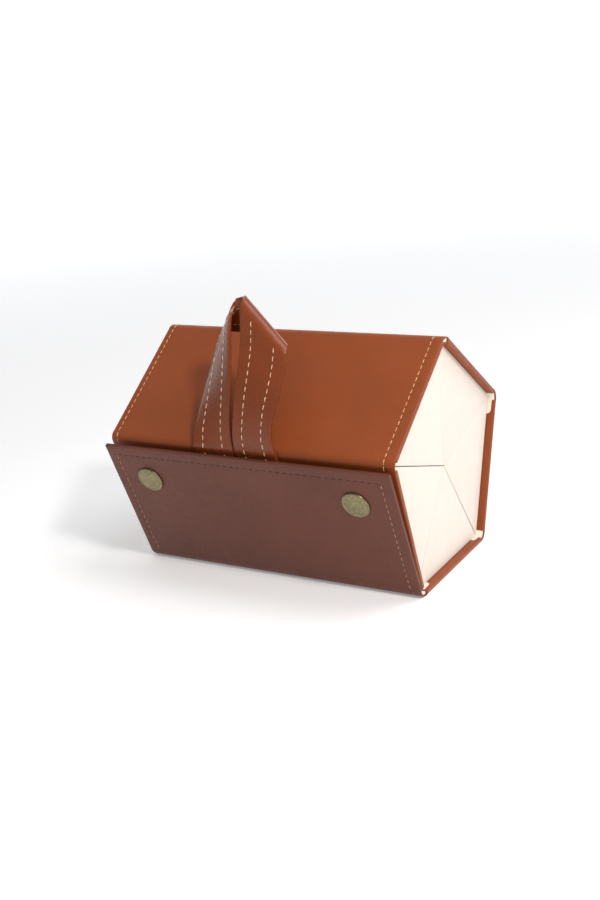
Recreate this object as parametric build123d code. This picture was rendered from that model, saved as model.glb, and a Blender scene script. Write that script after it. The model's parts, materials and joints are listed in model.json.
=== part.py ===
from build123d import *
import os
from math import cos, radians, sin, tan

# Roll-up eyeglasses case. A strip of five stiff panels rolls up into a five-sided prism, each panel
# carrying one triangular compartment, and a sixth panel, the flap, closes over the lower front with
# two snaps. X runs along the roll, -Y is the front with the flap, and +Z is up. The origin is the
# middle of the face that the closed case stands on. All sizes are in millimetres.

os.makedirs("parts", exist_ok=True)

# ---------------------------------------------------------------- overall sizes
SIDE = 90.0             # one side of the roll, from sharp corner to sharp corner
LENGTH = 184.0          # the roll, from end to end
PANELS = ("bottom", "back", "rear_roof", "front_roof", "lower_front")

# ---------------------------------------------------------------- sheet materials
LEATHER = 0.8           # outer covering
BOARD = 1.5             # stiffener inside a panel
LINING = 0.6            # soft lining, and the pared edge of leather turned in beside it
CARD = 1.6              # lined card of the end walls and dividers

# ---------------------------------------------------------------- panels
CREASE = 5.0            # soft strip on each side of a corner, with no board in it
CREASE_ROUND = 0.95     # share of a crease that its round takes up
HEM = 6.0               # leather turned in over each end of a panel
END_INSET = 4.5         # from a panel's end to the outside of its end wall
CREASE_INSET = 1.0      # lining in the creases, in from the panels' ends
SEAM_GAP = 0.3          # between the walls of two neighbours
HINGE_DEPTH = 2.2       # from a sharp corner in to the line that the crease bends about

# ---------------------------------------------------------------- lower front and flap
FRONT_RECESS = 1.3      # the lower front sits this much further in than the other panels
FRONT_STOP = 5.5        # from the flap's corner up to the lower front's free edge
FLAP_BOARD = 0.8
FLAP_BACKING = 0.5      # leather on the flap's inner side
FLAP_SHORT = 1.5        # the flap's free edge stops this far short of a full side
FLAP_LEAN = 3.2         # degrees that the closed flap leans out from the lower front
FLAP_GAP = 0.3          # between the flap and the lower front's free edge

# ---------------------------------------------------------------- snaps
SNAP_END_INSET = 24.5   # a snap's centre, in from the flap's end
SNAP_EDGE_INSET = 22.5  # a snap's centre, down from the flap's free edge
CAP_RADIUS = 8.25
CAP_RIM = 0.5           # height of the cap's edge
CAP_DOME = 1.7          # height of the cap's middle
POST_RADIUS = 2.0
POST_PLAY = 0.1         # around a post in its holes
SOCKET_RADIUS = 6.0
SOCKET_HEIGHT = 1.6
STUD_RADIUS = 2.9
STUD_CLEAR = 0.68       # from the stud's tip to the flap's inner side
STUD_PLAY = 0.4         # around the stud in its socket
BASE_RADIUS = 6.0
BASE_HEIGHT = 0.8
BACK_RADIUS = 4.5
BACK_HEIGHT = 0.8

# ---------------------------------------------------------------- handle
STRAP_WIDTH = 26.0
STRAP_THICK = 2.0
STRAP_GAP = 1.0         # between the two legs where they leave the case
HANDLE_X = -4.7         # the middle of the handle, along the roll
TAB_LENGTH = 37.0       # the sewn part of each leg, below the roof's edge
PIVOT_RISE = 1.0        # the handle bends this far above the roof's corner
PIVOT_GAP = 0.3
LEG_REACH = 82.0        # from the bend to the handle's peak, straight up
LEG_LEAN = 17.0         # the peak stands this far behind the bend
SHOULDER_REACH = 58.0   # from the bend up to the right leg's shoulder
PEAK_X = 4.0            # the peak, to the right of the handle's middle
SHOULDER_X = 31.5       # the right leg's shoulder, to the right of the handle's middle
TURNED_X = -19.5        # the left shoulder, from the handle's middle
TURNED_Y = 30.0         # the left shoulder, behind the bend
TURNED_Z = 57.0         # the left shoulder, above the bend

# ---------------------------------------------------------------- derived sizes
TURN = 360 / len(PANELS)
HALF_TURN = radians(TURN / 2)
APOTHEM = SIDE / 2 / tan(HALF_TURN)
CORNER_RADIUS = SIDE / 2 / sin(HALF_TURN)
HINGE_RADIUS = CORNER_RADIUS - HINGE_DEPTH
END = LENGTH / 2
PANEL_THICK = LEATHER + BOARD + LINING
FLAP_THICK = LEATHER + FLAP_BOARD + FLAP_BACKING
FLAP_WIDTH = SIDE - FLAP_SHORT
BOTTOM = PANELS.index("bottom")
FRONT = PANELS.index("lower_front")
WALL_OUT = END - END_INSET
WALL_IN = WALL_OUT - CARD
SNAP_X = END - SNAP_END_INSET
SNAP_Y = SNAP_EDGE_INSET - FLAP_WIDTH
LEG_X = (STRAP_GAP + STRAP_WIDTH) / 2


# ---------------------------------------------------------------- plain shapes
def block(x, y, z):
    """Box between the low and high values given for each direction."""
    spans = (x, y, z)
    size = [abs(high - low) for low, high in spans]
    middle = [(high + low) / 2 for low, high in spans]
    return Pos(*middle) * Box(*size)


def disc(radius, low, high):
    """Round plate about Z, between two heights."""
    return Pos(0, 0, (low + high) / 2) * Cylinder(radius, abs(high - low))


def bar(outline, x_low, x_high):
    """Bar along X with a straight-sided (y, z) outline."""
    path = Polyline(*[(x_low, y, z) for y, z in outline], close=True)
    return extrude(make_face(path), amount=x_high - x_low, dir=(1, 0, 0))


def plate(corners):
    """Piece of strap whose middle surface has the given flat corners."""
    face = make_face(Polyline(*corners, close=True))
    return extrude(face, amount=STRAP_THICK / 2, both=True)


# ---------------------------------------------------------------- places on the roll
def recess(index):
    return FRONT_RECESS if index == FRONT else 0.0


def place(index, piece):
    """Turn a piece made on the bottom panel round to another panel."""
    inwards = recess(index) - APOTHEM
    return Pos(0, 0, APOTHEM) * Rot(TURN * index, 0, 0) * Pos(0, 0, inwards) * piece


def spot(index, y, z):
    """Where (y, z) of a panel is on the roll, z being the depth in from the panel's outer face."""
    angle = radians(TURN * index)
    out = APOTHEM - recess(index) - z
    return (y * cos(angle) + out * sin(angle), APOTHEM + y * sin(angle) - out * cos(angle))


def on_panel(index, point):
    """The (y, z) on a panel of a (y, z) point of the roll."""
    angle = radians(TURN * index)
    y, z = point[0], point[1] - APOTHEM
    return (y * cos(angle) + z * sin(angle), APOTHEM - recess(index) + z * cos(angle) - y * sin(angle))


def corner(index, depth):
    """Where the surfaces at one depth of a panel and of the next one cross."""
    angle = radians(TURN)
    y, z = on_panel(index, spot(index + 1, 0, depth))
    return spot(index, y - (z - depth) / tan(angle), depth)


def flap_corner():
    """How far in front of the roll's sharp corner the flap's outer face starts."""
    lean = radians(FLAP_LEAN)
    proud = FLAP_THICK * cos(lean) + FLAP_GAP - FRONT_RECESS - FRONT_STOP * sin(lean)
    return -SIDE / 2 - proud / sin(2 * HALF_TURN)


def place_flap(piece):
    """Close a piece made on the flap while it lies flat in front of the bottom."""
    return Pos(0, flap_corner(), 0) * Rot(FLAP_LEAN - TURN, 0, 0) * piece


def flap_spot(y, z):
    """Where (y, z) of the flat flap is once it is closed."""
    angle = radians(FLAP_LEAN - TURN)
    return (flap_corner() + y * cos(angle) - z * sin(angle), y * sin(angle) + z * cos(angle))


def span(index):
    """The two edges of a panel's board, across the strip."""
    stop = FRONT_STOP if index == FRONT else CREASE
    return (CREASE - SIDE / 2, SIDE / 2 - stop)


# ---------------------------------------------------------------- flat layers of a panel
def panel_cover(index):
    """Leather of one panel, turned in over both ends of its board."""
    across = span(index)
    inner = LEATHER + BOARD
    leather = block((-END, END), across, (0, LEATHER))
    for end in (-END, END):
        side = 1 if end > 0 else -1
        leather += block((end, end - side * LEATHER), across, (0, PANEL_THICK))
        leather += block((end, end - side * HEM), across, (inner, PANEL_THICK))
    return leather


def panel_board(index):
    reach = END - LEATHER
    return block((-reach, reach), span(index), (LEATHER, LEATHER + BOARD))


def panel_lining(index):
    reach = END - HEM
    return block((-reach, reach), span(index), (LEATHER + BOARD, PANEL_THICK))


# ---------------------------------------------------------------- walls of a compartment
def seam_point(index, side, distance):
    """Point beside a corner seam, at a distance from the roll's axis. Side -1 is the start side."""
    gap = SEAM_GAP / 2
    y = side * (distance * sin(HALF_TURN) - gap * cos(HALF_TURN))
    z = APOTHEM - recess(index) - distance * cos(HALF_TURN) - gap * sin(HALF_TURN)
    return (y, z)


def wall_foot(index, side):
    """Where a compartment's wall meets the panel's lining, beside a corner seam."""
    width = (APOTHEM - recess(index) - PANEL_THICK) * tan(HALF_TURN)
    return (side * (width - SEAM_GAP / 2 / cos(HALF_TURN)), PANEL_THICK)


def wall_peak(index):
    """The end wall's points above its foot, from the end side round to the start side.

    The bottom and the lower front meet at the seam that opens first. Each of them is cut back near
    the roll's axis, so that it swings past the other about its own hinge.
    """
    closing = {BOTTOM: -1, FRONT: 1}.get(index, 0)
    if closing == 0:
        return [(0, APOTHEM - recess(index) - SEAM_GAP / 2 / sin(HALF_TURN))]
    shoulder = seam_point(index, closing, HINGE_RADIUS * cos(2 * HALF_TURN))
    reach = HINGE_RADIUS * sin(2 * HALF_TURN) - SEAM_GAP
    tip = seam_point(index, -closing, HINGE_RADIUS - reach)
    return [tip, shoulder] if closing < 0 else [shoulder, tip]


def wall_feet(index):
    """The end wall's points on its panel, from the start side to the end side."""
    if index + 1 != FRONT:
        return [wall_foot(index, -1), wall_foot(index, 1)]
    notch = on_panel(index, corner(index, PANEL_THICK))
    level = (APOTHEM - FRONT_RECESS - PANEL_THICK) / cos(HALF_TURN)
    return [wall_foot(index, -1), notch, seam_point(index, 1, level)]


def wall_outline(index):
    return wall_feet(index) + wall_peak(index)


def end_wall(index, side):
    """Triangular wall at one end of a compartment. Side -1 is the left end."""
    return bar(wall_outline(index), *sorted((side * WALL_OUT, side * WALL_IN)))


def divider(index):
    """Wall on the start side of a compartment, from the panel up to the roll's axis."""
    foot = Vector(0, *wall_foot(index, -1))
    top = wall_peak(index)[0 if index == BOTTOM else -1]
    peak = Vector(0, *top)
    along = (peak - foot).normalized()
    inwards = Vector(0, along.Z, -along.Y) * CARD
    overrun = along * SIDE
    corners = (foot - overrun, foot - overrun + inwards, peak + overrun + inwards, peak + overrun)
    sheet = bar([(point.Y, point.Z) for point in corners], -WALL_IN, WALL_IN)
    return sheet & bar(wall_outline(index), -WALL_IN, WALL_IN)


# ---------------------------------------------------------------- creases
def bend(outer, inner, x_reach):
    """Leather bent round a corner, between two (y, z) paths of three points each."""
    start, middle, end = [Vector(0, *point) for point in outer]
    leg = min((middle - start).length, (end - middle).length)
    half_angle = radians((start - middle).get_angle(end - middle) / 2)
    radius = CREASE_ROUND * leg * tan(half_angle)
    paths = []
    for points, bend_radius in ((outer, radius), (inner, radius - LEATHER)):
        spots = [(-x_reach, y, z) for y, z in points]
        paths.append(FilletPolyline(*spots, radius=bend_radius))
    outside, inside = paths
    rim = [outside, inside, Line(outside @ 0, inside @ 0), Line(outside @ 1, inside @ 1)]
    return extrude(make_face(rim), amount=2 * x_reach, dir=(1, 0, 0))


def crease_leather(index):
    """Covering round the corner between a panel and the next one."""
    last, first = span(index)[1], span(index + 1)[0]
    paths = []
    for depth in (0, LEATHER):
        paths.append((spot(index, last, depth), corner(index, depth), spot(index + 1, first, depth)))
    return bend(*paths, END)


def crease_lining(index):
    """Lining folded into the corner between a panel and the next one."""
    last, first = span(index)[1], span(index + 1)[0]
    outline = []
    for depth in (LEATHER + BOARD, PANEL_THICK):
        path = [spot(index, last, depth), corner(index, depth), spot(index + 1, first, depth)]
        outline += path if not outline else path[::-1]
    return bar(outline, CREASE_INSET - END, END - CREASE_INSET)


def flap_crease():
    """Covering round the corner between the bottom and the flap."""
    paths = []
    for depth in (0, LEATHER):
        lift = depth / tan(radians(180 - TURN + FLAP_LEAN) / 2)
        start = (CREASE - SIDE / 2, depth)
        middle = (flap_corner() + lift, depth)
        end = flap_spot(-CREASE, depth)
        paths.append((start, middle, end))
    return bend(*paths, END)


# ---------------------------------------------------------------- flap
def snap_holes():
    """Two holes for the snaps' posts, through anything on the flap."""
    hole = disc(POST_RADIUS + POST_PLAY, -FLAP_THICK, 2 * FLAP_THICK)
    return Pos(-SNAP_X, SNAP_Y, 0) * hole + Pos(SNAP_X, SNAP_Y, 0) * hole


def flap_cover():
    """Leather of the flap, turned up round the board at both ends and along the free edge."""
    level = LEATHER + FLAP_BOARD
    sheet = block((-END, END), (-FLAP_WIDTH, -CREASE), (0, level))
    pocket = END - LEATHER
    sheet -= block((-pocket, pocket), (LEATHER - FLAP_WIDTH, 0), (LEATHER, level))
    return sheet - snap_holes()


def flap_board():
    reach = END - LEATHER
    sheet = block((-reach, reach), (LEATHER - FLAP_WIDTH, -CREASE), (LEATHER, LEATHER + FLAP_BOARD))
    return sheet - snap_holes()


def flap_backing():
    sheet = block((-END, END), (-FLAP_WIDTH, -CREASE), (LEATHER + FLAP_BOARD, FLAP_THICK))
    return sheet - snap_holes()


# ---------------------------------------------------------------- snaps
def snap_cap():
    """Domed cap on the flap's outer face, with the post that goes through the flap."""
    rise = CAP_DOME - CAP_RIM
    curve = (CAP_RADIUS**2 + rise**2) / (2 * rise)
    cap = disc(CAP_RADIUS, -CAP_DOME, 0) & Pos(0, 0, curve - CAP_DOME) * Sphere(curve)
    return cap + disc(POST_RADIUS, 0, FLAP_THICK)


def snap_socket():
    """Ring on the flap's inner face that the stud presses into."""
    top = FLAP_THICK + SOCKET_HEIGHT
    return disc(SOCKET_RADIUS, FLAP_THICK, top) - disc(STUD_RADIUS + STUD_PLAY, FLAP_THICK, top)


def stud_tip():
    """Depth of the stud's tip on the lower front, just short of the closed flap."""
    return on_panel(FRONT, flap_spot(SNAP_Y, FLAP_THICK))[1] + STUD_CLEAR


def snap_stud():
    """Stud on the lower front's outer face, with the post that goes through the panel."""
    stud = disc(STUD_RADIUS, stud_tip(), 0) + disc(BASE_RADIUS, -BASE_HEIGHT, 0)
    return stud + disc(POST_RADIUS, 0, PANEL_THICK)


def snap_back():
    """Rivet head inside the compartment that holds the stud's post."""
    return disc(BACK_RADIUS, PANEL_THICK, PANEL_THICK + BACK_HEIGHT)


def stud_y():
    """Where the snaps' axes cross the lower front."""
    return on_panel(FRONT, flap_spot(SNAP_Y, FLAP_THICK + SOCKET_HEIGHT))[0]


def post_holes():
    """Two holes for the studs' posts, through the lower front."""
    hole = disc(POST_RADIUS + POST_PLAY, -PANEL_THICK, 2 * PANEL_THICK)
    return Pos(-SNAP_X, stud_y(), 0) * hole + Pos(SNAP_X, stud_y(), 0) * hole


# ---------------------------------------------------------------- handle
def pivot():
    """The (y, z) on the lower front of the line that the handle bends about."""
    return (-SIDE / 2 - PIVOT_RISE, -STRAP_THICK / 2)


def handle_tab(side):
    """Sewn end of a strap, flat on the lower front, rounded where the handle bends."""
    y, z = pivot()
    middle = HANDLE_X + side * LEG_X
    across = (middle - STRAP_WIDTH / 2, middle + STRAP_WIDTH / 2)
    tab = block(across, (y, y + TAB_LENGTH + PIVOT_RISE), (-STRAP_THICK, 0))
    nose = Pos(middle, y, z) * Rot(0, 90, 0) * Cylinder(STRAP_THICK / 2, STRAP_WIDTH)
    return tab + nose


def handle_loop():
    """Strap folded over at its peak: a flat right leg, a turned left leg and the fold between."""
    bend_y, bend_z = spot(FRONT, *pivot())
    low = STRAP_THICK / 2 + PIVOT_GAP
    slope = LEG_LEAN / LEG_REACH

    def up(x, rise):
        return (HANDLE_X + x, bend_y + slope * rise, bend_z + rise)

    near = STRAP_GAP / 2
    far = near + STRAP_WIDTH
    peak = up(PEAK_X, LEG_REACH)
    right_shoulder = up(SHOULDER_X, SHOULDER_REACH)
    left_shoulder = (HANDLE_X + TURNED_X, bend_y + TURNED_Y, bend_z + TURNED_Z)
    right_leg = plate([up(near, low), up(far, low), right_shoulder, peak])
    fold = plate([peak, right_shoulder, left_shoulder])
    left_foot = plate([up(-near, low), up(-far, low), left_shoulder])
    left_leg = plate([up(-near, low), left_shoulder, peak])
    loop = right_leg + fold + left_foot + left_leg
    foot = Pos(HANDLE_X, bend_y, bend_z) * Rot(0, 90, 0) * Cylinder(low, 3 * STRAP_WIDTH)
    return loop - foot


# ---------------------------------------------------------------- the whole case
def write(name, piece):
    solids = piece.solids()
    shape = solids[0] if len(solids) == 1 else Compound(children=list(solids))
    export_step(shape, f"parts/{name}.step")


for number, panel in enumerate(PANELS):
    layers = {
        "cover": panel_cover(number),
        "board": panel_board(number),
        "lining": panel_lining(number),
        "divider": divider(number),
        "end_wall_left": end_wall(number, -1),
        "end_wall_right": end_wall(number, 1),
    }
    for layer, piece in layers.items():
        if number == FRONT and layer in ("cover", "board", "lining"):
            piece -= post_holes()
        write(f"{panel}_{layer}", place(number, piece))

for number, panel in enumerate(PANELS[:-1]):
    write(f"{panel}_crease", crease_leather(number))
    write(f"{panel}_crease_lining", crease_lining(number))

write("flap_crease", flap_crease())
write("flap_cover", place_flap(flap_cover()))
write("flap_board", place_flap(flap_board()))
write("flap_backing", place_flap(flap_backing()))

for name, side in (("left", -1), ("right", 1)):
    on_flap = Pos(side * SNAP_X, SNAP_Y, 0)
    on_front = Pos(side * SNAP_X, stud_y(), 0)
    write(f"snap_cap_{name}", place_flap(on_flap * snap_cap()))
    write(f"snap_socket_{name}", place_flap(on_flap * snap_socket()))
    write(f"snap_stud_{name}", place(FRONT, on_front * snap_stud()))
    write(f"snap_back_{name}", place(FRONT, on_front * snap_back()))
    write(f"handle_tab_{name}", place(FRONT, handle_tab(side)))

write("handle_loop", handle_loop())

# The lines that the moving pieces turn about, all along X
for number, panel in enumerate(PANELS[1:]):
    angle = radians(TURN * (number + 0.5) - 90)
    y, z = HINGE_RADIUS * cos(angle), APOTHEM + HINGE_RADIUS * sin(angle)
    print(f"{panel} turns about y {y:.3f}, z {z:.3f}")
half_corner = radians(180 - TURN + FLAP_LEAN) / 2
print(f"flap turns about y {flap_corner() + HINGE_DEPTH * cos(half_corner):.3f}, "
      f"z {HINGE_DEPTH * sin(half_corner):.3f}")
print("handle turns about y {:.3f}, z {:.3f}".format(*spot(FRONT, *pivot())))
print(f"roll axis at z {APOTHEM:.3f}")
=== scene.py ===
# %% [markdown]
# # A roll-up eyeglasses case
#
# The real case is one long strip of leatherette with stiff boards inside. It rolls up into a prism
# with five sides, and a flap with two snaps closes it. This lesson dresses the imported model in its
# real materials: thin leather that runs round the corners, brushed cream cloth, thread and brass.
#
# Everything is in metres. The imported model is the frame, and all places are read from it.

import json
import random
from math import atan2, cos, pi, radians, sin, tan

import bmesh
import bpy
from mathutils import Matrix, Vector

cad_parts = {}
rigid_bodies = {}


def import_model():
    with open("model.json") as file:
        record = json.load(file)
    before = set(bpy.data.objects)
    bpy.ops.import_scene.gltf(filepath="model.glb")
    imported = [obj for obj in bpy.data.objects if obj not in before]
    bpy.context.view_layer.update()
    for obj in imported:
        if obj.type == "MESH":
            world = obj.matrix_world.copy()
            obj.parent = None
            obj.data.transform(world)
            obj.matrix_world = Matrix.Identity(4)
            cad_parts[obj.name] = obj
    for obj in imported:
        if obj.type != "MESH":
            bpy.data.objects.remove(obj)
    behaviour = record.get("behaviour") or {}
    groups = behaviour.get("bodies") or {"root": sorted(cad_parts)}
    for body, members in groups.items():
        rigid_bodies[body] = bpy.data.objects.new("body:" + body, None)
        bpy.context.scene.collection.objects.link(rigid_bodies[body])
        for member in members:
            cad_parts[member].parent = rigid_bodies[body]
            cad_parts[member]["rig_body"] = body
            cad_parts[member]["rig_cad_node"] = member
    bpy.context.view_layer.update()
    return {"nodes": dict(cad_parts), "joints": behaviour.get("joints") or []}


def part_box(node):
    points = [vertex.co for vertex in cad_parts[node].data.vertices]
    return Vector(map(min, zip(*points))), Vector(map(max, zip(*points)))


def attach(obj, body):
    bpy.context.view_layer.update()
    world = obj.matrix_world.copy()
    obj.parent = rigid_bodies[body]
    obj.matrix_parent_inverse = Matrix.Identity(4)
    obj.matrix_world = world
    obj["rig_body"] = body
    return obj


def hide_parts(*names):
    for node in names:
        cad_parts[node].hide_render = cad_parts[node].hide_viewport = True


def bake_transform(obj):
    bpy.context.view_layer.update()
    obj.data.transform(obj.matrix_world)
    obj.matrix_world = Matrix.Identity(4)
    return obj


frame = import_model()
random.seed(5)

# %% [markdown]
# ## Where things are
#
# Every panel is easiest to shape while it lies flat on the table, as the leather worker has it. So
# each body gets a home: the matrix that folds a flat piece up to where the body is in the closed
# roll. The hinges give the roll's axis, and the nodes, laid flat again, give the sizes.

# %% Homes and sizes
PANELS = ("bottom", "back", "rear_roof", "front_roof", "lower_front")
TURN = radians(360 / len(PANELS))
joints = {joint["name"]: joint for joint in frame["joints"]}


def hinge(name):
    return Vector(joints[name]["pos_m"])


def turned(angle, point):
    """Matrix that turns about a line along X through a point."""
    return Matrix.Translation(point) @ Matrix.Rotation(angle, 4, "X") @ Matrix.Translation(-point)


hinge_radius = hinge("rear_roof_hinge").y / sin(TURN)
axis = Vector((0, 0, hinge("front_roof_hinge").z - hinge_radius))
homes = {panel: turned(number * TURN, axis) for number, panel in enumerate(PANELS)}
flap_travel = radians(joints["flap_hinge"]["range_deg"][1])
homes["flap"] = turned(-flap_travel, hinge("flap_hinge"))


def flat_box(node, body):
    """Lowest and highest corner of a node while its body lies flat."""
    back = homes[body].inverted()
    spots = [back @ vertex.co for vertex in frame["nodes"][node].data.vertices]
    low = Vector([min(spot[i] for spot in spots) for i in range(3)])
    high = Vector([max(spot[i] for spot in spots) for i in range(3)])
    return low, high


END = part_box("bottom_cover")[1].x
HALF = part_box("bottom_cover")[1].y
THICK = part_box("bottom_cover")[1].z
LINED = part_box("bottom_lining")[1].x
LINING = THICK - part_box("bottom_lining")[0].z
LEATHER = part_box("bottom_board")[0].z
CREASE = axis.z * tan(TURN / 2) - HALF
RECESS = flat_box("lower_front_cover", "lower_front")[0].z
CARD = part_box("bottom_end_wall_right")[1].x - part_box("bottom_end_wall_right")[0].x
WALL_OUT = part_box("bottom_end_wall_right")[1].x
MM = 0.001
print(f"half length {END:.4f}, half panel {HALF:.4f}, thickness {THICK:.4f}, recess {RECESS:.4f}")

# %% [markdown]
# ## The camera first
#
# The camera stands to the right of the case's front, a little above it, and leans slightly to one
# side, as a hand-held one does. It is set before the modelling so that each piece can be judged
# from there.

# %% Camera
CAMERA_PLACE = Vector((0.3512, -0.5857, 0.2838))
CAMERA_AIM = Vector((-0.0063, -0.0010, 0.0629))
CAMERA_LEAN = radians(-4.79)
CAMERA_LENS = 47.63
CLOSEST = 0.01


def set_camera():
    camera = bpy.data.objects.new("camera", bpy.data.cameras.new("camera"))
    bpy.context.scene.collection.objects.link(camera)
    camera.data.lens = CAMERA_LENS
    camera.data.clip_start = CLOSEST
    look = (CAMERA_AIM - CAMERA_PLACE).to_track_quat("-Z", "Y").to_matrix().to_4x4()
    camera.matrix_world = Matrix.Translation(CAMERA_PLACE) @ look @ Matrix.Rotation(CAMERA_LEAN, 4, "Z")
    bpy.context.scene.camera = camera


set_camera()
print("camera at", tuple(CAMERA_PLACE))

# %% [markdown]
# ## Leather
#
# Leatherette is smooth, but never even. A fine pebble grain breaks up the highlights, the colour
# drifts slowly over a hand's width, and the surface is not quite flat. All three are noise in the
# piece's own coordinates, so the pattern runs on from a panel into the crease beside it.

# %% Material helpers


def new_material(name):
    material = bpy.data.materials.new(name)
    material.use_nodes = True
    nodes = material.node_tree.nodes
    shader = nodes["Principled BSDF"]
    place = nodes.new("ShaderNodeTexCoord").outputs["Object"]
    return material, shader, place


def noise(material, place, scale, detail=3.0, roughness=0.5):
    node = material.node_tree.nodes.new("ShaderNodeTexNoise")
    node.inputs["Scale"].default_value = scale
    node.inputs["Detail"].default_value = detail
    node.inputs["Roughness"].default_value = roughness
    material.node_tree.links.new(place, node.inputs["Vector"])
    return node.outputs["Fac"]


def ramp(material, factor, stops):
    """Colours along a factor. stops are (position, (red, green, blue))."""
    node = material.node_tree.nodes.new("ShaderNodeValToRGB")
    elements = node.color_ramp.elements
    while len(elements) < len(stops):
        elements.new(0.5)
    for element, (position, colour) in zip(elements, stops):
        element.position = position
        element.color = (*colour, 1)
    material.node_tree.links.new(factor, node.inputs["Fac"])
    return node.outputs["Color"]


def spread(material, factor, low, high, start=0.3, stop=0.7):
    """Values from low to high, as a factor goes from start to stop."""
    node = material.node_tree.nodes.new("ShaderNodeMapRange")
    node.inputs["From Min"].default_value = start
    node.inputs["From Max"].default_value = stop
    node.inputs["To Min"].default_value = low
    node.inputs["To Max"].default_value = high
    material.node_tree.links.new(factor, node.inputs["Value"])
    return node.outputs["Result"]


def bump(material, height, distance, strength=1.0, under=None):
    node = material.node_tree.nodes.new("ShaderNodeBump")
    node.inputs["Strength"].default_value = strength
    node.inputs["Distance"].default_value = distance
    material.node_tree.links.new(height, node.inputs["Height"])
    if under:
        material.node_tree.links.new(under, node.inputs["Normal"])
    return node.outputs["Normal"]


def shade(colour, factor):
    return tuple(part * factor for part in colour)


# %% Leather material
TAN = (0.265, 0.057, 0.012)
# The flap is the same leather as the panels. Its colour is painted darker and less orange, as painted
# shade.
FLAP_SHADED_TAN = (0.130, 0.035, 0.0185)
STRAP_TAN = (0.205, 0.044, 0.011)


def leather(name, colour, gloss=0.45, grain=1.0):
    """Leatherette. gloss is its mean roughness, and grain how deep its pebbles are."""
    material, shader, place = new_material(name)
    link = material.node_tree.links.new
    drift = noise(material, place, 22, 4)
    tone = ramp(material, drift, [(0.3, shade(colour, 0.90)), (0.7, shade(colour, 1.09))])
    link(tone, shader.inputs["Base Color"])
    link(spread(material, noise(material, place, 260), gloss - 0.06, gloss + 0.08),
         shader.inputs["Roughness"])
    waves = bump(material, noise(material, place, 34, 2), 0.5 * MM, 0.35 * grain)
    pebbles = bump(material, noise(material, place, 1250, 1), 0.10 * MM, 0.40 * grain, waves)
    pores = bump(material, noise(material, place, 4200, 2), 0.05 * MM, 0.35 * grain, pebbles)
    link(pores, shader.inputs["Normal"])
    shader.inputs["Specular IOR Level"].default_value = 0.34
    return material


panel_leather = leather("tan_leatherette", TAN)
# The flap's leather carries painted shade in its colour.
shaded_flap_leather = leather("flap_leatherette_painted_shade", FLAP_SHADED_TAN)
strap_leather = leather("strap_leatherette", STRAP_TAN, 0.27, 1.6)
# The strap's edge colour is its edge paint, made lighter as a painted highlight along the edge.
strap_edge_highlighted = leather("strap_edge_paint_and_highlight", (0.58, 0.31, 0.22), 0.32, 0.5)
print("leathers:", panel_leather.name, shaded_flap_leather.name, strap_leather.name)

# %% [markdown]
# ## Brushed cloth, board, thread and brass
#
# The lining is microfibre: short brushed fibres that catch the light at grazing angles, which is
# what the sheen input is for. The brass is old: greenish brown, and brighter where it rubs.

# %% Cloth


def microfibre(name, colour):
    material, shader, place = new_material(name)
    link = material.node_tree.links.new
    nap = noise(material, place, 90, 5, 0.6)
    link(ramp(material, nap, [(0.3, shade(colour, 0.955)), (0.7, colour)]), shader.inputs["Base Color"])
    brushed = bump(material, noise(material, place, 300, 4, 0.7), 0.12 * MM, 0.5)
    fibres = bump(material, noise(material, place, 3200, 3, 0.7), 0.07 * MM, 0.6, brushed)
    link(fibres, shader.inputs["Normal"])
    shader.inputs["Roughness"].default_value = 0.95
    shader.inputs["Specular IOR Level"].default_value = 0.15
    shader.inputs["Sheen Weight"].default_value = 0.35
    shader.inputs["Sheen Roughness"].default_value = 0.55
    return material


wall_cloth = microfibre("cream_microfibre", (0.81, 0.72, 0.635))
lining_cloth = microfibre("cream_lining", (0.86, 0.77, 0.65))
print("cloths:", wall_cloth.name, lining_cloth.name)


# %% Board and thread


def pressed_board():
    material, shader, place = new_material("grey_board")
    flecks = noise(material, place, 900, 6, 0.7)
    tone = ramp(material, flecks, [(0.35, (0.20, 0.16, 0.11)), (0.65, (0.36, 0.30, 0.22))])
    material.node_tree.links.new(tone, shader.inputs["Base Color"])
    material.node_tree.links.new(bump(material, flecks, 0.1 * MM, 0.5), shader.inputs["Normal"])
    shader.inputs["Roughness"].default_value = 0.9
    return material


def thread(name, colour):
    """Twisted thread: fine stripes across the stitch, and a slow drift of colour along the seam."""
    material, shader, place = new_material(name)
    link = material.node_tree.links.new
    tone = noise(material, place, 700, 2)
    link(ramp(material, tone, [(0.35, shade(colour, 0.7)), (0.65, shade(colour, 1.15))]),
         shader.inputs["Base Color"])
    link(bump(material, noise(material, place, 5200, 2), 0.06 * MM, 0.7), shader.inputs["Normal"])
    shader.inputs["Roughness"].default_value = 0.6
    shader.inputs["Sheen Weight"].default_value = 0.3
    return material


grey_board = pressed_board()
light_thread = thread("light_thread", (0.78, 0.46, 0.21))
strap_thread = thread("strap_thread", (0.85, 0.58, 0.36))
dark_thread = thread("brown_thread", (0.032, 0.013, 0.008))
rust_thread = thread("rust_thread", (0.46, 0.21, 0.085))
print("threads:", light_thread.name, strap_thread.name, dark_thread.name, rust_thread.name)

# %% Brass


def old_brass(name, dark, bright):
    material, shader, place = new_material(name)
    link = material.node_tree.links.new
    patina = noise(material, place, 800, 6, 0.7)
    link(ramp(material, patina, [(0.36, dark), (0.5, shade(bright, 0.8)), (0.66, bright)]),
         shader.inputs["Base Color"])
    link(spread(material, noise(material, place, 700, 4), 0.24, 0.42), shader.inputs["Roughness"])
    link(bump(material, noise(material, place, 900, 4), 0.06 * MM, 0.4), shader.inputs["Normal"])
    shader.inputs["Metallic"].default_value = 0.9
    return material


cap_brass = old_brass("antique_brass", (0.17, 0.148, 0.078), (0.31, 0.272, 0.148))
inner_brass = old_brass("plain_brass", (0.34, 0.27, 0.14), (0.6, 0.5, 0.3))
print("brasses:", cap_brass.name, inner_brass.name)

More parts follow.
